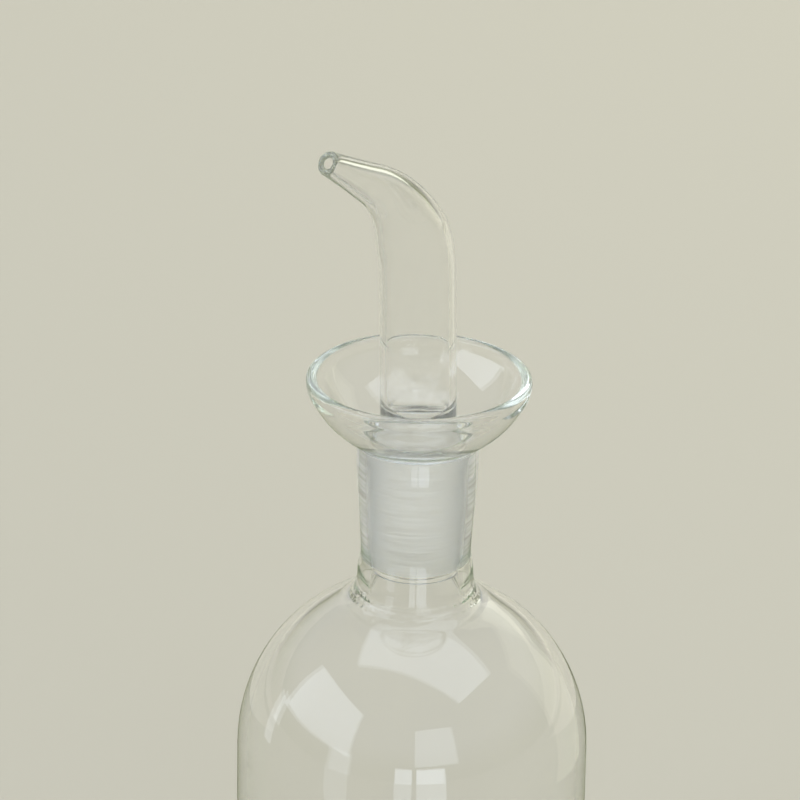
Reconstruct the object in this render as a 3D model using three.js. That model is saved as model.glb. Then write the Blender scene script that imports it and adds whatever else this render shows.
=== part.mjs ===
// Dripless oil and vinegar cruet of clear laboratory glass: a round-shouldered bottle whose neck
// is a ground socket under an open drip cup, and a hollow bent pourer whose ground cone sits in it.
// Millimetres, +Z up. The origin is on the bottle's axis at the surface it stands on, and the
// spout points along -X.
import * as THREE from 'three';

// Body: a straight cylinder under half a ball, on a ring round a slightly pushed-up base
const BODY_R = 40;
const WALL = 2.2;
const SHOULDER_Z = 80;
const HEEL_R = 6;
const FLOOR = 3.2;
const FOOT_RING_IN_R = 25;
const PUSH_UP = 1.2;

// Ground joint: 24 mm across at the top, 1 in 10 on the diameter
const JOINT_TOP_R = 12;
const JOINT_SLOPE = 0.05;
const JOINT_TOP_Z = SHOULDER_Z + 75.6;
const JOINT_LOW_Z = SHOULDER_Z + 47;

// Neck: a fillet out of the shoulder, a waist below the ground zone, then a slight flare to the cup
const FOOT_FILLET_R = 8;
const FOOT_INNER_FILLET_R = 6.8;
const NECK_FOOT_R = 13.1;
const WAIST_OUT_R = 22;
const WAIST_OUT_TURN = 11;
const WAIST_IN_R = 14;
const NECK_FLARE = 4;
const NECK_FLARE_LENGTH = 15.9;
const NECK_STRAIGHTEN_R = 60;
const NECK_STRAIGHT = 4.4;

// Drip cup: a corner with the neck, a bowl of a 25 mm radius, a steeper edge and a round rim
const CORNER_R = 1.6;
const CORNER_TURN = 60.1;
const BOWL_R = 25;
const BOWL_TURN = 33.7;
const CUP_EDGE_R = 7;
const RIM_ROUND_R = 1.25;
const CUP_WALL = 2 * RIM_ROUND_R;
const MOUTH_ROUND_R = 2;
const MOUTH_TURN = 61;

// Pourer: ground cone, shoulder and blown tube, as if the tube were still straight
const JOINT_GAP = 0.3;
const CONE_LOW_Z = SHOULDER_Z + 45;
const CONE_WALL = 1.7;
const CONE_EDGE_R = 0.7;
const CONE_TOP_Z = SHOULDER_Z + 76.6;
const CONE_INSIDE_TOP_Z = SHOULDER_Z + 75;
const TUBE_LOW_Z = SHOULDER_Z + 82.5;
const TUBE_INSIDE_LOW_Z = SHOULDER_Z + 86.5;
const TUBE_R = 8.55;
const TUBE_WALL = 1.5;
const THROAT_R = 5.9;
const THROAT_Z = SHOULDER_Z + 81.6;
const OGEE_SHARE = 0.45;
const TAPER_Z = SHOULDER_Z + 124.5;
const TAPER_POWER = 0.8;
const TIP_R = 2.75;
const TIP_ROUND_R = TUBE_WALL / 2;

// The pourer's centre line: lengths that run straight or turn towards the spout
const TUBE_LEAN = THREE.MathUtils.degToRad(1.8);
const LEAN_LENGTH = 6;
const LEAN_Z = SHOULDER_Z + 78;
const BEND_Z = SHOULDER_Z + 117;
const BEND_R = 29.5;
const SPOUT_RISE = THREE.MathUtils.degToRad(32);
const SPOUT_STRAIGHT = 17;

// Facets
const BOTTLE_SIDES = 48;
const POURER_SIDES = 24;
const SPOUT_STEPS = 13;

const BEND_TURN = Math.PI / 2 - SPOUT_RISE - TUBE_LEAN;
const TIP_Z = BEND_Z + BEND_R * BEND_TURN + SPOUT_STRAIGHT;

const clearGlass = new THREE.MeshStandardMaterial({
  color: 0xdfe3d9, roughness: 0.03, metalness: 0, transparent: true, opacity: 0.35,
});
const groundGlass = new THREE.MeshStandardMaterial({
  color: 0xc6c9c3, roughness: 0.6, metalness: 0, transparent: true, opacity: 0.7,
});

const jointR = (z) => JOINT_TOP_R - JOINT_SLOPE * (JOINT_TOP_Z - z);

// An outline to be turned about Z, drawn as a pen moves: it stands at (x, y) = (radius, height) and
// faces some way, in degrees anticlockwise from outward
class Outline {
  constructor(r, z) {
    this.points = [new THREE.Vector2(r, z)];
    this.facing = 0;
  }

  get end() {
    return this.points[this.points.length - 1];
  }

  lineTo(r, z) {
    const to = new THREE.Vector2(r, z);
    this.facing = THREE.MathUtils.radToDeg(to.clone().sub(this.end).angle());
    this.points.push(to);
  }

  ahead(length) {
    const facing = THREE.MathUtils.degToRad(this.facing);
    this.lineTo(this.end.x + length * Math.cos(facing), this.end.y + length * Math.sin(facing));
  }

  // Rounds a bend of a radius, to the left for positive degrees and to the right for negative
  turn(radius, degrees, steps) {
    const side = THREE.MathUtils.degToRad(this.facing + 90 * Math.sign(degrees));
    const arm = new THREE.Vector2(Math.cos(side), Math.sin(side)).multiplyScalar(radius);
    const centre = this.end.clone().add(arm);
    for (let i = 1; i <= steps; i += 1) {
      const turned = THREE.MathUtils.degToRad((degrees * i) / steps);
      this.points.push(arm.clone().negate().rotateAround(new THREE.Vector2(), turned).add(centre));
    }
    this.facing += degrees;
  }

  // Shifts sideways to (r, z) by two bends, the first taking its share of the two radii
  ogeeTo(r, z, share, steps) {
    const across = r - this.end.x;
    const along = z - this.end.y;
    const angle = 2 * Math.atan(Math.abs(across / along));
    const radii = Math.abs(along) / Math.sin(angle);
    const degrees = -Math.sign(across * along) * THREE.MathUtils.radToDeg(angle);
    this.turn(radii * share, degrees, steps);
    this.turn(radii * (1 - share), -degrees, steps);
  }
}

// Where a fillet out of a dome meets a neck of radius r, and how far up the dome it starts
function filletOnDome(domeR, neckR, filletR) {
  const out = neckR + filletR;
  const up = Math.sqrt((domeR + filletR) ** 2 - out ** 2);
  return { z: SHOULDER_Z + up, degrees: THREE.MathUtils.radToDeg(Math.atan2(up, out)) };
}

function bottleOutside(outline) {
  const baseR = (FOOT_RING_IN_R ** 2 + PUSH_UP ** 2) / (2 * PUSH_UP);
  const fillet = filletOnDome(BODY_R, NECK_FOOT_R, FOOT_FILLET_R);
  outline.turn(baseR, -THREE.MathUtils.radToDeg(Math.asin(FOOT_RING_IN_R / baseR)), 3);
  outline.end.y = 0;
  outline.lineTo(BODY_R - HEEL_R, 0);
  outline.turn(HEEL_R, 90, 5);
  outline.ahead(SHOULDER_Z - HEEL_R);
  outline.turn(BODY_R, fillet.degrees, 10);
  outline.turn(FOOT_FILLET_R, -fillet.degrees, 5);
  outline.turn(WAIST_OUT_R, WAIST_OUT_TURN, 2);
  outline.turn(WAIST_IN_R, -WAIST_OUT_TURN - NECK_FLARE, 3);
  outline.ahead(NECK_FLARE_LENGTH);
  outline.turn(NECK_STRAIGHTEN_R, NECK_FLARE, 2);
  outline.ahead(NECK_STRAIGHT);
}

// The cup's inside keeps the cup's wall, so its bends share their centres with the outside
function dripCup(outline) {
  const edgeTurn = CORNER_TURN - BOWL_TURN;
  outline.turn(CORNER_R, -CORNER_TURN, 3);
  outline.turn(BOWL_R, BOWL_TURN, 6);
  outline.turn(CUP_EDGE_R, edgeTurn, 3);
  outline.turn(RIM_ROUND_R, 180, 7);
  outline.turn(CUP_EDGE_R - CUP_WALL, -edgeTurn, 3);
  outline.turn(BOWL_R - CUP_WALL, edgeTurn - MOUTH_TURN, 6);
  outline.turn(MOUTH_ROUND_R, MOUTH_TURN, 3);
}

function bottleInside(outline) {
  const insideR = BODY_R - WALL;
  const heel = HEEL_R - WALL / 2;
  const neckR = jointR(JOINT_LOW_Z);
  const fillet = filletOnDome(insideR, neckR, FOOT_INNER_FILLET_R);
  outline.lineTo(JOINT_TOP_R, JOINT_TOP_Z);
  outline.lineTo(neckR, JOINT_LOW_Z);
  outline.lineTo(neckR, fillet.z);
  outline.turn(FOOT_INNER_FILLET_R, fillet.degrees, 5);
  outline.turn(insideR, -fillet.degrees, 10);
  outline.lineTo(insideR, FLOOR + heel);
  outline.turn(heel, -90, 5);
  outline.lineTo(0, FLOOR + PUSH_UP);
}

// The bottle is turned from one outline, which runs up the outside and back down the inside
function makeBottle() {
  const outline = new Outline(0, PUSH_UP);
  bottleOutside(outline);
  dripCup(outline);
  bottleInside(outline);
  const mesh = new THREE.Mesh(new THREE.LatheGeometry(outline.points, BOTTLE_SIDES), clearGlass);
  mesh.geometry.rotateX(Math.PI / 2);
  mesh.name = 'bottle';
  return mesh;
}

// Radius of the pourer's tube at a length along it
function tubeR(z) {
  const share = THREE.MathUtils.clamp((z - TAPER_Z) / (TIP_Z - TAPER_Z), 0, 1);
  return TUBE_R + (TIP_R - TUBE_R) * share ** TAPER_POWER;
}

// Lengths along the tube, from the bend to just short of the rounded mouth
function tubeStations() {
  const last = TIP_Z - TIP_ROUND_R;
  const stations = [];
  for (let i = 0; i <= SPOUT_STEPS; i += 1) stations.push(BEND_Z + ((last - BEND_Z) * i) / SPOUT_STEPS);
  return stations;
}

// The pourer's outline starts at the foot of the cone's bore and closes on itself
function pourerOutline() {
  const coneLowR = jointR(CONE_LOW_Z) - JOINT_GAP;
  const coneTopR = JOINT_TOP_R - JOINT_GAP;
  const stations = tubeStations();
  const outline = new Outline(coneLowR - CONE_WALL, CONE_LOW_Z);
  outline.ahead(CONE_WALL - CONE_EDGE_R);
  outline.turn(CONE_EDGE_R, 90, 3);
  outline.lineTo(coneTopR, JOINT_TOP_Z);
  outline.lineTo(coneTopR, CONE_TOP_Z);
  outline.ogeeTo(TUBE_R, TUBE_LOW_Z, OGEE_SHARE, 3);
  stations.forEach((z) => outline.lineTo(tubeR(z), z));
  outline.facing = 90;
  outline.turn(TIP_ROUND_R, 180, 5);
  stations.reverse().slice(1).forEach((z) => outline.lineTo(tubeR(z) - TUBE_WALL, z));
  outline.lineTo(TUBE_R - TUBE_WALL, TUBE_INSIDE_LOW_Z);
  outline.ogeeTo(THROAT_R, THROAT_Z, OGEE_SHARE, 3);
  outline.ogeeTo(coneTopR - CONE_WALL, CONE_INSIDE_TOP_Z, OGEE_SHARE, 3);
  outline.lineTo(coneLowR - CONE_WALL, CONE_LOW_Z);
  return outline.points;
}

// Where a length along the pourer's centre line lies, and how far it has turned from upright
function centreLine(length) {
  const runs = [[LEAN_Z, 0], [LEAN_LENGTH, TUBE_LEAN], [BEND_Z - LEAN_Z - LEAN_LENGTH, 0],
    [BEND_R * BEND_TURN, BEND_TURN], [SPOUT_STRAIGHT * 2, 0]];
  const at = { x: 0, z: 0, turned: 0 };
  let left = length;
  for (const [run, turn] of runs) {
    const step = Math.min(left, run);
    const bend = (turn * step) / run;
    const chord = bend === 0 ? step : (2 * step * Math.sin(bend / 2)) / bend;
    at.x -= chord * Math.sin(at.turned + bend / 2);
    at.z += chord * Math.cos(at.turned + bend / 2);
    at.turned += bend;
    left -= step;
  }
  return at;
}

// The pourer is turned straight from its outline, and its vertices then follow the centre line
function makePourer() {
  const geometry = new THREE.LatheGeometry(pourerOutline(), POURER_SIDES);
  geometry.rotateX(Math.PI / 2);
  const place = geometry.attributes.position;
  for (let i = 0; i < place.count; i += 1) {
    const { x, z, turned } = centreLine(place.getZ(i));
    const side = place.getX(i);
    place.setXYZ(i, x + side * Math.cos(turned), place.getY(i), z + side * Math.sin(turned));
  }
  const mesh = new THREE.Mesh(geometry, groundGlass);
  mesh.name = 'pourer';
  return mesh;
}

const cruet = new THREE.Group();
cruet.add(makeBottle(), makePourer());

export default cruet;
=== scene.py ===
from math import atan, atan2, ceil, copysign, cos, degrees, pi, radians, sin, sqrt, tan

import bpy
from mathutils import Matrix, Vector


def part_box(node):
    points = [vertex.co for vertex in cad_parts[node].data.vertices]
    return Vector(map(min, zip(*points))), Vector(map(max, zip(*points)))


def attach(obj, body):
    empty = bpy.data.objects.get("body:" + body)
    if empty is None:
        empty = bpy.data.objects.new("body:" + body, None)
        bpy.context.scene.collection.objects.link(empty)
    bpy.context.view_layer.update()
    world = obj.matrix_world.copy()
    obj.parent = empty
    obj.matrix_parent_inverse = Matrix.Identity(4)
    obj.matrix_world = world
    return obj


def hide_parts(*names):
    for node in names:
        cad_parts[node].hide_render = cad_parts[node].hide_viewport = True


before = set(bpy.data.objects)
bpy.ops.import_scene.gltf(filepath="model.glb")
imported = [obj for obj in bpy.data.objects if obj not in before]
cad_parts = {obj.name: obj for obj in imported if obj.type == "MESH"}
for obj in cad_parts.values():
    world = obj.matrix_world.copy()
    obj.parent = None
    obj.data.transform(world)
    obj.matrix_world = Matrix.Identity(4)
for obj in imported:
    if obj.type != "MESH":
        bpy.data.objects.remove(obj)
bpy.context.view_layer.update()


# The bottle: one piece of clear borosilicate glass. A blown body with a round shoulder is joined to
# a drawn neck, which is ground inside for the pourer and opens out into the drip cup. It is one
# outline, drawn up the outside and down the inside, and spun round the axis. Sizes are millimetres.

MM = 0.001
BODY_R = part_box("bottle")[1].x / MM
WALL = 2.2
SHOULDER_Z = 2 * BODY_R
HEEL_R = 6
BASE_WALL = 3.2
FOOT_RING_IN_R = 25
PUSH_UP = 1.2
JOINT_TOP_R = 12
JOINT_SLOPE = 0.05
JOINT_TOP_Z = SHOULDER_Z + 75.6
JOINT_LOW_Z = SHOULDER_Z + 47
FOOT_FILLET_R = 8
FOOT_INNER_FILLET_R = 6.8
NECK_FOOT_R = 13.1
WAIST_OUT_R = 22
WAIST_OUT_TURN = 11
WAIST_IN_R = 14
NECK_FLARE = 4
NECK_FLARE_LENGTH = 15.9
NECK_STRAIGHTEN_R = 60
NECK_STRAIGHT = 4.4
CORNER_R = 1.6
CORNER_TURN = 60.1
BOWL_R = 25
BOWL_TURN = 33.7
CUP_EDGE_R = 7
RIM_ROUND_R = 1.25
CUP_WALL = 2 * RIM_ROUND_R
MOUTH_ROUND_R = 2
MOUTH_TURN = 61
BOTTLE_SIDES = 160
STEP_LENGTH = 2.5
STEP_TURN = 4
RIM_STEP_TURN = 15
SAME_POINT = 0.01


class Pen:
    """Draws a wire in the XZ plane in edit mode: straight runs are extruded and bends are spun.
    It stands at (r, z) and faces some way, in degrees anticlockwise from outward."""

    def __init__(self, name, r, z, facing=0, longest_step=STEP_LENGTH, widest_turn=STEP_TURN):
        bpy.ops.object.select_all(action="DESELECT")
        bpy.ops.mesh.primitive_plane_add(size=MM, location=(0, 0, 0))
        self.piece = bpy.context.object
        self.piece.name = name
        bpy.ops.object.mode_set(mode="EDIT")
        bpy.ops.mesh.merge(type="CENTER")
        bpy.ops.transform.translate(value=(r * MM, 0, z * MM))
        self.r, self.z, self.facing = r, z, facing
        self.longest_step, self.widest_turn = longest_step, widest_turn

    def line_to(self, r, z):
        run = Vector((r - self.r, 0, z - self.z))
        steps = max(1, ceil((run.length - SAME_POINT) / self.longest_step))
        for _ in range(steps):
            bpy.ops.mesh.extrude_region_move(TRANSFORM_OT_translate={"value": run * MM / steps})
        self.r, self.z, self.facing = r, z, degrees(atan2(run.z, run.x))

    def ahead(self, length):
        facing = radians(self.facing)
        self.line_to(self.r + length * cos(facing), self.z + length * sin(facing))

    def turn(self, radius, turned):
        """Rounds a bend of a radius: to the left by positive degrees, to the right by negative."""
        side = radians(self.facing + copysign(90, turned))
        centre = Vector((self.r + radius * cos(side), 0, self.z + radius * sin(side)))
        steps = max(
            2,
            ceil(abs(turned) / self.widest_turn),
            ceil(radius * radians(abs(turned)) / self.longest_step),
        )
        bpy.ops.mesh.spin(steps=steps, angle=radians(turned), center=centre * MM, axis=(0, 1, 0))
        self.facing += turned
        off = radians(self.facing - copysign(90, turned))
        self.r, self.z = centre.x + radius * cos(off), centre.z + radius * sin(off)

    def ogee_to(self, r, z, share):
        """Shifts sideways by two bends, the first taking its share of the two radii."""
        across, along = r - self.r, z - self.z
        angle = 2 * atan(abs(across / along))
        radii = abs(along) / sin(angle)
        turned = -copysign(degrees(angle), across * along)
        self.turn(radii * share, turned)
        self.turn(radii * (1 - share), -turned)

    def spin_round(self, sides):
        """Closes the drawing: the whole wire is spun round Z into a shell, which is cleaned up."""
        bpy.ops.mesh.select_all(action="SELECT")
        bpy.ops.mesh.spin(steps=sides, angle=2 * pi, center=(0, 0, 0), axis=(0, 0, 1))
        bpy.ops.mesh.select_all(action="SELECT")
        bpy.ops.mesh.remove_doubles(threshold=SAME_POINT * MM)
        bpy.ops.mesh.normals_make_consistent(inside=False)
        bpy.ops.object.mode_set(mode="OBJECT")
        bpy.ops.object.shade_smooth()
        return self.piece


def fillet_on_dome(dome_r, neck_r, fillet_r):
    """Height where a fillet out of a dome meets a neck, and how far up the dome it starts."""
    out = neck_r + fillet_r
    up = sqrt((dome_r + fillet_r) ** 2 - out**2)
    return SHOULDER_Z + up, degrees(atan2(up, out))


def joint_r(z):
    return JOINT_TOP_R - JOINT_SLOPE * (JOINT_TOP_Z - z)


pen = Pen("glass_bottle", 0, PUSH_UP)
base_r = (FOOT_RING_IN_R**2 + PUSH_UP**2) / (2 * PUSH_UP)
pen.turn(base_r, -degrees(atan2(FOOT_RING_IN_R, base_r - PUSH_UP)))
pen.line_to(BODY_R - HEEL_R, 0)
pen.turn(HEEL_R, 90)
pen.line_to(BODY_R, SHOULDER_Z)
_, shoulder_turn = fillet_on_dome(BODY_R, NECK_FOOT_R, FOOT_FILLET_R)
pen.turn(BODY_R, shoulder_turn)
pen.turn(FOOT_FILLET_R, -shoulder_turn)
pen.turn(WAIST_OUT_R, WAIST_OUT_TURN)
pen.turn(WAIST_IN_R, -WAIST_OUT_TURN - NECK_FLARE)
pen.ahead(NECK_FLARE_LENGTH)
pen.turn(NECK_STRAIGHTEN_R, NECK_FLARE)
pen.ahead(NECK_STRAIGHT)

edge_turn = CORNER_TURN - BOWL_TURN
pen.turn(CORNER_R, -CORNER_TURN)
pen.turn(BOWL_R, BOWL_TURN)
pen.turn(CUP_EDGE_R, edge_turn)
pen.widest_turn = RIM_STEP_TURN
pen.turn(RIM_ROUND_R, 180)
pen.widest_turn = STEP_TURN
pen.turn(CUP_EDGE_R - CUP_WALL, -edge_turn)
pen.turn(BOWL_R - CUP_WALL, edge_turn - MOUTH_TURN)
pen.turn(MOUTH_ROUND_R, MOUTH_TURN)

inside_r = BODY_R - WALL
inside_heel = HEEL_R - WALL / 2
neck_bore_r = joint_r(JOINT_LOW_Z)
fillet_z, shoulder_turn = fillet_on_dome(inside_r, neck_bore_r, FOOT_INNER_FILLET_R)
pen.line_to(JOINT_TOP_R, JOINT_TOP_Z)
pen.line_to(neck_bore_r, JOINT_LOW_Z)
pen.line_to(neck_bore_r, fillet_z)
pen.turn(FOOT_INNER_FILLET_R, shoulder_turn)
pen.turn(inside_r, -shoulder_turn)
pen.line_to(inside_r, BASE_WALL + inside_heel)
pen.turn(inside_heel, -90)
pen.line_to(0, BASE_WALL + PUSH_UP)
bottle = pen.spin_round(BOTTLE_SIDES)


def srgb(hex_colour):
    """A colour as Blender takes it, linear and opaque, from its sRGB hex value."""
    channels = [int(hex_colour[i:i + 2], 16) / 255 for i in (1, 3, 5)]
    return [c / 12.92 if c <= 0.04045 else ((c + 0.055) / 1.055) ** 2.4 for c in channels] + [1]


def add_node(material, kind, inputs=None, **settings):
    """Adds a node with its settings, its values and what is linked into it."""
    made = material.node_tree.nodes.new(kind)
    for name, value in settings.items():
        setattr(made, name, value)
    for name, value in (inputs or {}).items():
        if isinstance(value, bpy.types.NodeSocket):
            material.node_tree.links.new(value, made.inputs[name])
        else:
            made.inputs[name].default_value = value
    return made


def new_material(name):
    made = bpy.data.materials.new(name)
    made.use_nodes = True
    made.node_tree.nodes.clear()
    return made


# Borosilicate glass: where it is blown and fire-polished it is colourless face on and pale green
# through its edges, with a faint unevenness and a lumpy seam where body and neck were welded. Where
# it is ground for the joint, its "ground" attribute is 1 and it is a frost with fine rings from the
# turning mandrel and a diffuse haze added on top of the glass. The haze is the frost's whitening
# with
# painted light in it: it is brighter than the glass alone and tinted bluish as painted skylight.
# Real
# rings are finer: these are just coarse enough to show.
GLASS_IOR = 1.47
GLASS_TINT = "#b4c890"
WAVE_SIZE = 16
WAVE_DEPTH = 0.03
SEAM_Z = SHOULDER_Z + 38.6
SEAM_WIDTH = 0.7
SEAM_HEIGHT = 0.35
SEAM_LUMP = 1.5
RING_PITCH = 0.7
RING_LENGTH = 12
RING_DEPTH = 0.0025
NO_HAZE = "#000000"


def borosilicate(name, tint_density, ground_roughness, haze_and_painted_sky):
    """The glass of one piece: how dense its tint is, how rough its ground zone is, and the colour
    of its haze, a diffuse frost whitening with painted bluish skylight in it.
    """
    glass = new_material(name)
    place = add_node(glass, "ShaderNodeTexCoord")
    ground = add_node(glass, "ShaderNodeAttribute", attribute_name="ground")
    waves = add_node(
        glass,
        "ShaderNodeTexNoise",
        {"Vector": place.outputs["Object"], "Scale": 1 / (WAVE_SIZE * MM), "Detail": 1},
    )
    unevenness = add_node(
        glass,
        "ShaderNodeBump",
        {"Height": waves.outputs["Fac"], "Strength": 1, "Distance": WAVE_DEPTH * MM},
    )

    lumps = add_node(
        glass,
        "ShaderNodeTexNoise",
        {"Vector": place.outputs["Object"], "Scale": 1 / (SEAM_LUMP * MM), "Detail": 1},
    )
    height = add_node(glass, "ShaderNodeSeparateXYZ", {"Vector": place.outputs["Object"]})
    off_seam = add_node(
        glass, "ShaderNodeMath", {0: height.outputs["Z"], 1: SEAM_Z * MM}, operation="SUBTRACT"
    )
    how_far = add_node(
        glass, "ShaderNodeMath", {0: off_seam.outputs["Value"]}, operation="ABSOLUTE"
    )
    on_seam = add_node(
        glass,
        "ShaderNodeMapRange",
        {
            "Value": how_far.outputs["Value"],
            "From Max": SEAM_WIDTH * MM,
            "To Min": 1,
            "To Max": 0,
        },
        interpolation_type="SMOOTHSTEP",
    )
    ridge = add_node(
        glass,
        "ShaderNodeMath",
        {0: on_seam.outputs["Result"], 1: lumps.outputs["Fac"]},
        operation="MULTIPLY",
    )
    seam = add_node(
        glass,
        "ShaderNodeBump",
        {
            "Height": ridge.outputs["Value"],
            "Strength": 1,
            "Distance": SEAM_HEIGHT * MM,
            "Normal": unevenness.outputs["Normal"],
        },
    )

    along_ring = RING_PITCH / RING_LENGTH
    flattened = add_node(
        glass,
        "ShaderNodeVectorMath",
        {0: place.outputs["Object"], 1: (along_ring, along_ring, 1)},
        operation="MULTIPLY",
    )
    rings = add_node(
        glass,
        "ShaderNodeTexNoise",
        {"Vector": flattened.outputs["Vector"], "Scale": 1 / (RING_PITCH * MM), "Detail": 2},
    )
    scratches = add_node(
        glass,
        "ShaderNodeMath",
        {0: rings.outputs["Fac"], 1: ground.outputs["Fac"]},
        operation="MULTIPLY",
    )
    grinding = add_node(
        glass,
        "ShaderNodeBump",
        {
            "Height": scratches.outputs["Value"],
            "Strength": 1,
            "Distance": RING_DEPTH * MM,
            "Normal": seam.outputs["Normal"],
        },
    )
    frost = add_node(
        glass,
        "ShaderNodeMapRange",
        {"Value": ground.outputs["Fac"], "To Max": ground_roughness},
    )
    surface = add_node(
        glass,
        "ShaderNodeBsdfPrincipled",
        {
            "Base Color": srgb("#ffffff"),
            "Roughness": frost.outputs["Result"],
            "IOR": GLASS_IOR,
            "Transmission Weight": 1,
            "Normal": grinding.outputs["Normal"],
        },
    )
    # The haze: a diffuse whitening of the frost added on top of the glass, with painted light in
    # it, brighter than the glass alone and tinted bluish as painted skylight.
    haze_and_painted_sky_colour = add_node(
        glass,
        "ShaderNodeMix",
        {0: scratches.outputs["Value"], 6: srgb(NO_HAZE), 7: srgb(haze_and_painted_sky)},
        data_type="RGBA",
    )
    haze = add_node(
        glass,
        "ShaderNodeBsdfDiffuse",
        {"Color": haze_and_painted_sky_colour.outputs[2], "Normal": grinding.outputs["Normal"]},
    )
    both = add_node(
        glass, "ShaderNodeAddShader", {0: surface.outputs["BSDF"], 1: haze.outputs["BSDF"]}
    )
    tint = add_node(
        glass, "ShaderNodeVolumeAbsorption", {"Color": srgb(GLASS_TINT), "Density": tint_density}
    )
    add_node(
        glass,
        "ShaderNodeOutputMaterial",
        {"Surface": both.outputs["Shader"], "Volume": tint.outputs["Volume"]},
    )
    return glass


BOTTLE_TINT_DENSITY = 5
SOCKET_ROUGHNESS = 0.22
# The socket's haze colour: frost whitening with painted bluish skylight in it.
SOCKET_HAZE_AND_PAINTED_SKY = "#989ca2"
GRIND_REACH = 0.4


def grind(piece, ground_r):
    """Marks as ground the joint's faces: those whose radius at their height is the ground one."""
    ground = piece.data.attributes.new("ground", "FLOAT", "FACE")
    for face, mark in zip(piece.data.polygons, ground.data):
        r, z = face.center.xy.length / MM, face.center.z / MM
        mark.value = JOINT_LOW_Z < z < JOINT_TOP_Z and abs(r - ground_r(z)) < GRIND_REACH


bottle.data.materials.append(
    borosilicate("blown borosilicate glass", BOTTLE_TINT_DENSITY, SOCKET_ROUGHNESS, SOCKET_HAZE_AND_PAINTED_SKY)
)
grind(bottle, joint_r)
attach(bottle, "root")
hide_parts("bottle")


# The pourer: a hollow piece of the same glass. A ground cone fits the neck, and above its shoulder
# a tube is drawn out, bent over and narrowed to a small fire-polished mouth. It is spun straight
# and then bent along its centre line.

JOINT_GAP = 0.1
CONE_LOW_Z = SHOULDER_Z + 45
CONE_WALL = 1.7
CONE_EDGE_R = 0.7
CONE_TOP_Z = SHOULDER_Z + 76.6
CONE_INSIDE_TOP_Z = SHOULDER_Z + 75
TUBE_LOW_Z = SHOULDER_Z + 82.5
TUBE_INSIDE_LOW_Z = SHOULDER_Z + 86.5
TUBE_R = 8.55
TUBE_WALL = 1.5
THROAT_R = 5.9
THROAT_Z = SHOULDER_Z + 81.6
OGEE_SHARE = 0.45
TAPER_Z = SHOULDER_Z + 123.5
TAPER_START_R = 28
TAPER_START_TURN = 12
TAPER_R = 313
TAPER_TURN = 6.1
TUBE_LEAN = 1.8
LEAN_LENGTH = 6
LEAN_Z = SHOULDER_Z + 78
BEND_Z = SHOULDER_Z + 117
BEND_R = 29.5
SPOUT_RISE = 32
SPOUT_RUN = 25.5
POURER_SIDES = 96
POURER_STEP_LENGTH = 1.5
POURER_STEP_TURN = 6
MOUTH_STEP_TURN = 20
CENTRE_LINE_STEP_TURN = 90
POURER_TINT_DENSITY = 4
CONE_ROUGHNESS = 0.42
# The cone's haze colour: frost whitening with painted bluish skylight in it.
CONE_HAZE_AND_PAINTED_SKY = "#5f6369"

cone_low_r = joint_r(CONE_LOW_Z) - JOINT_GAP
cone_top_r = JOINT_TOP_R - JOINT_GAP
pen = Pen(
    "glass_pourer",
    cone_low_r - CONE_WALL,
    CONE_LOW_Z,
    longest_step=POURER_STEP_LENGTH,
    widest_turn=POURER_STEP_TURN,
)
pen.ahead(CONE_WALL - CONE_EDGE_R)
pen.turn(CONE_EDGE_R, 90)
pen.line_to(joint_r(JOINT_LOW_Z) - JOINT_GAP, JOINT_LOW_Z)
pen.line_to(cone_top_r, JOINT_TOP_Z)
pen.line_to(cone_top_r, CONE_TOP_Z)
pen.ogee_to(TUBE_R, TUBE_LOW_Z, OGEE_SHARE)
pen.line_to(TUBE_R, TAPER_Z)
pen.turn(TAPER_START_R, TAPER_START_TURN)
pen.turn(TAPER_R, -TAPER_TURN)
pen.widest_turn = MOUTH_STEP_TURN
pen.turn(TUBE_WALL / 2, 180)
pen.widest_turn = POURER_STEP_TURN
pen.turn(TAPER_R + TUBE_WALL, TAPER_TURN)
pen.turn(TAPER_START_R - TUBE_WALL, -TAPER_START_TURN)
pen.line_to(TUBE_R - TUBE_WALL, TUBE_INSIDE_LOW_Z)
pen.ogee_to(THROAT_R, THROAT_Z, OGEE_SHARE)
pen.ogee_to(cone_top_r - CONE_WALL, CONE_INSIDE_TOP_Z, OGEE_SHARE)
pen.line_to(cone_low_r - CONE_WALL, CONE_LOW_Z)
pourer = pen.spin_round(POURER_SIDES)
pourer.data.materials.append(
    borosilicate("drawn borosilicate glass", POURER_TINT_DENSITY, CONE_ROUGHNESS, CONE_HAZE_AND_PAINTED_SKY)
)
grind(pourer, lambda z: joint_r(z) - JOINT_GAP)

pen = Pen(
    "pourer_centre_line",
    0,
    0,
    facing=90,
    longest_step=POURER_STEP_LENGTH,
    widest_turn=CENTRE_LINE_STEP_TURN,
)
pen.ahead(LEAN_Z)
pen.turn(LEAN_LENGTH / radians(TUBE_LEAN), TUBE_LEAN)
pen.ahead(BEND_Z - LEAN_Z - LEAN_LENGTH)
pen.turn(BEND_R, 90 - SPOUT_RISE - TUBE_LEAN)
pen.ahead(SPOUT_RUN)
bpy.ops.object.mode_set(mode="OBJECT")
bpy.ops.object.convert(target="CURVE")
centre_line = bpy.context.object
if centre_line.data.splines[0].points[0].co.z > MM:
    bpy.ops.object.mode_set(mode="EDIT")
    bpy.ops.curve.select_all(action="SELECT")
    bpy.ops.curve.switch_direction()
    bpy.ops.object.mode_set(mode="OBJECT")

bpy.context.view_layer.objects.active = pourer
bend = pourer.modifiers.new("bend", "CURVE")
bend.object = centre_line
bend.deform_axis = "POS_Z"
bpy.ops.object.modifier_apply(modifier="bend")
bpy.data.objects.remove(centre_line)

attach(pourer, "root")
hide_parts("pourer")


# The camera stands 1.15 m away and looks down on the cup with a long lens. The spout points to the
# left and towards it. Distances from here on are metres.

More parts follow.
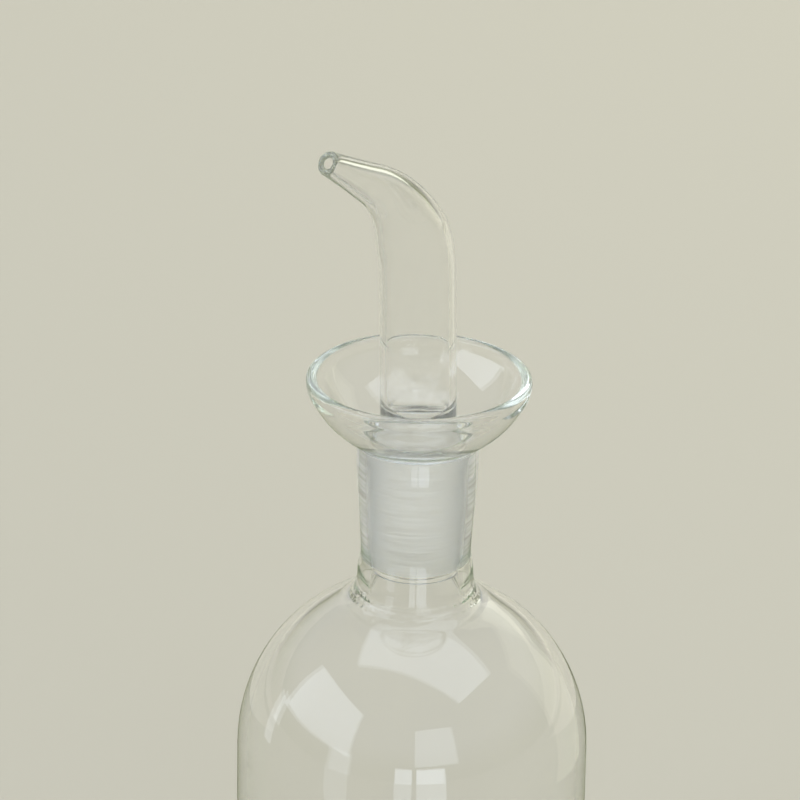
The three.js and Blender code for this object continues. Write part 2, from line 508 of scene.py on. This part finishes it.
CAMERA_AZIMUTH = radians(-45)
CAMERA_ELEVATION = radians(24)
CAMERA_DISTANCE = 1.15
CAMERA_ROLL = radians(1.05)
CAMERA_LENS = 232.5
FILM_WIDTH = 36
FARTHEST_SEEN = 100
AIM_Z = 0.1656
AIM_LEFT = 0.00417

RIGHT = Vector((cos(CAMERA_AZIMUTH), sin(CAMERA_AZIMUTH), 0))
AWAY = Vector((-sin(CAMERA_AZIMUTH), cos(CAMERA_AZIMUTH), 0))
UP = Vector((0, 0, 1))

back = UP * sin(CAMERA_ELEVATION) - AWAY * cos(CAMERA_ELEVATION)
aim = UP * AIM_Z - RIGHT * AIM_LEFT
bpy.ops.object.camera_add(location=aim + back * CAMERA_DISTANCE)
camera = bpy.context.object
facing = Matrix((RIGHT, back.cross(RIGHT), back)).transposed()
camera.rotation_euler = (facing @ Matrix.Rotation(CAMERA_ROLL, 3, "Z")).to_euler()
camera.data.lens = CAMERA_LENS
camera.data.sensor_width = FILM_WIDTH
camera.data.clip_end = FARTHEST_SEEN
bpy.context.scene.camera = camera


# The floor is one wide sheet of matt paper, and the room is dim, so that the windows show in the
# glass as bright panes. They are placed as the camera sees them: to the right, away and up.

FLOOR_COLOUR = "#bdb7a8"
FLOOR_SIZE = 30
DAYLIGHT = "#dee7f6"
LAMPLIGHT = "#f3f3dc"
PANE_DISTANCE = 3

bpy.ops.object.select_all(action="DESELECT")
bpy.ops.mesh.primitive_plane_add(size=FLOOR_SIZE)
floor = bpy.context.object
floor.name = "floor"
paper = new_material("matt paper floor")
matt = add_node(
    paper,
    "ShaderNodeBsdfPrincipled",
    {"Base Color": srgb(FLOOR_COLOUR), "Roughness": 0.9, "Specular IOR Level": 0.1},
)
add_node(paper, "ShaderNodeOutputMaterial", {"Surface": matt.outputs["BSDF"]})
floor.data.materials.append(paper)
floor.visible_glossy = False


def pane_of_light(name, middle, across, up, radiance, colour=DAYLIGHT):
    """A flat pane of light that faces the shoulder and that the camera sees only in the glass. Its
    middle, from the shoulder, and its two half-sides are (right, away, up) in PANE_DISTANCE."""

    def turned(v):
        return (RIGHT * v[0] + AWAY * v[1] + UP * v[2]) * PANE_DISTANCE

    shoulder = UP * SHOULDER_Z * MM
    x, y = turned(across), turned(up)
    z = x.cross(y).normalized()
    if z.dot(turned(middle)) < 0:
        y = -y
        z = -z
    bpy.ops.object.light_add(type="AREA", location=shoulder + turned(middle))
    lamp = bpy.context.object
    lamp.name = name
    lamp.rotation_euler = Matrix((x.normalized(), y.normalized(), z)).transposed().to_euler()
    lamp.data.shape = "RECTANGLE"
    lamp.data.size = 2 * x.length
    lamp.data.size_y = 2 * y.length
    lamp.data.energy = radiance * pi * lamp.data.size * lamp.data.size_y
    lamp.data.color = srgb(colour)[:3]
    lamp.visible_camera = False
    return lamp


def window_light(name, azimuths, elevations, radiance, colour=DAYLIGHT):
    """An upright pane between two azimuths and two elevations, in degrees: azimuth 0 is away from
    the camera and 90 is to the right."""
    azimuth = radians(sum(azimuths) / 2)
    half_width = tan(radians(azimuths[1] - azimuths[0]) / 2)
    low, high = (tan(radians(e)) for e in elevations)
    return pane_of_light(
        name,
        (sin(azimuth), cos(azimuth), (low + high) / 2),
        (half_width * cos(azimuth), -half_width * sin(azimuth), 0),
        (0, 0, (high - low) / 2),
        radiance,
        colour,
    )


pane_of_light(
    "skylight",
    middle=(0.18, -0.02, 1.0),
    across=(-0.665, 0.305, 0),
    up=(0.185, 0.33, 0),
    radiance=1.8,
)
window_light("left_window_top", azimuths=(-137, -76), elevations=(12, 42), radiance=2.1)
window_light("left_window_side", azimuths=(-139, -123), elevations=(-20, 12), radiance=1.5)
window_light("left_window_edge", azimuths=(-76, -68), elevations=(-10, 12), radiance=1.6)
window_light("back_window", azimuths=(149, 178), elevations=(11, 35), radiance=1.5)
window_light(
    "right_wall", azimuths=(40, 72), elevations=(-25, 35), radiance=0.5, colour=LAMPLIGHT
)
window_light(
    "right_wall_top", azimuths=(12, 40), elevations=(12, 50), radiance=0.85, colour=LAMPLIGHT
)

# The window behind the camera goes on downwards as two stripes, which only the bottle shows.
bottle_only = bpy.data.collections.new("bottle_only")
bottle_only.objects.link(bottle)
for side, azimuths, radiance in (("right", (158, 177), 3.6), ("left", (-180, -169), 3.0)):
    stripe = window_light(f"back_stripe_{side}", azimuths, (-25.5, 9), radiance)
    stripe.light_linking.receiver_collection = bottle_only

# A lamp far behind lights the floor a little more on the right, and doesn't show in the glass.
far_lamp = pane_of_light(
    "far_lamp",
    middle=(0.33, 0.6, 0.5),
    across=(0.09, -0.05, 0),
    up=(0, 0, 0.1),
    radiance=30,
    colour=LAMPLIGHT,
)
far_lamp.visible_glossy = False
far_lamp.visible_transmission = False

# Reflections show the floor only from some way behind the bottle, and the wall above it. So cup,
# neck and spout have light edges, and the body, which is near the floor, has dark ones.
FLOOR_GLOW = 0.4
FLOOR_GLOW_NEAR = 0.26
FLOOR_GLOW_FAR = 3
FLOOR_GLOW_WIDTH = 3
FLOOR_GLOW_Z = 0.002
WALL_GLOW = 0.55
GLOW_COLOUR = "#fff8f6"

floor_glow = pane_of_light(
    "floor_glow",
    middle=(
        0,
        (FLOOR_GLOW_NEAR + FLOOR_GLOW_FAR) / 2 / PANE_DISTANCE,
        (FLOOR_GLOW_Z - SHOULDER_Z * MM) / PANE_DISTANCE,
    ),
    across=(FLOOR_GLOW_WIDTH / 2 / PANE_DISTANCE, 0, 0),
    up=(0, (FLOOR_GLOW_FAR - FLOOR_GLOW_NEAR) / 2 / PANE_DISTANCE, 0),
    radiance=FLOOR_GLOW,
    colour=GLOW_COLOUR,
)
wall_glow = window_light(
    "wall_glow", azimuths=(-75, 75), elevations=(-2, 25), radiance=WALL_GLOW, colour=GLOW_COLOUR
)
for glow in (floor_glow, wall_glow):
    glow.visible_transmission = False
    glow.visible_diffuse = False

# The room is olive low down and grey above. The heights are sines of the elevation.
ROOM_LOW = "#7c8064"
ROOM_LOW_UP_TO = 0.1
ROOM_HIGH = "#b4b8bc"
ROOM_HIGH_FROM = 0.4

room = bpy.data.worlds.new("room")
bpy.context.scene.world = room
room.use_nodes = True
way = add_node(room, "ShaderNodeTexCoord")
height = add_node(room, "ShaderNodeSeparateXYZ", {"Vector": way.outputs["Generated"]})
shade = add_node(room, "ShaderNodeValToRGB", {"Fac": height.outputs["Z"]})
low, high = shade.color_ramp.elements
low.position, low.color = ROOM_LOW_UP_TO, srgb(ROOM_LOW)
high.position, high.color = ROOM_HIGH_FROM, srgb(ROOM_HIGH)
background = room.node_tree.nodes["Background"]
room.node_tree.links.new(shade.outputs["Color"], background.inputs["Color"])

# Light goes round in the thick glass of rim and mouth many times before it comes out.
LONGEST_PATH = 96
LONGEST_IN_GLASS = 64

scene = bpy.context.scene
scene.view_settings.view_transform = "Standard"
scene.cycles.max_bounces = LONGEST_PATH
scene.cycles.transmission_bounces = LONGEST_IN_GLASS
scene.cycles.glossy_bounces = LONGEST_IN_GLASS
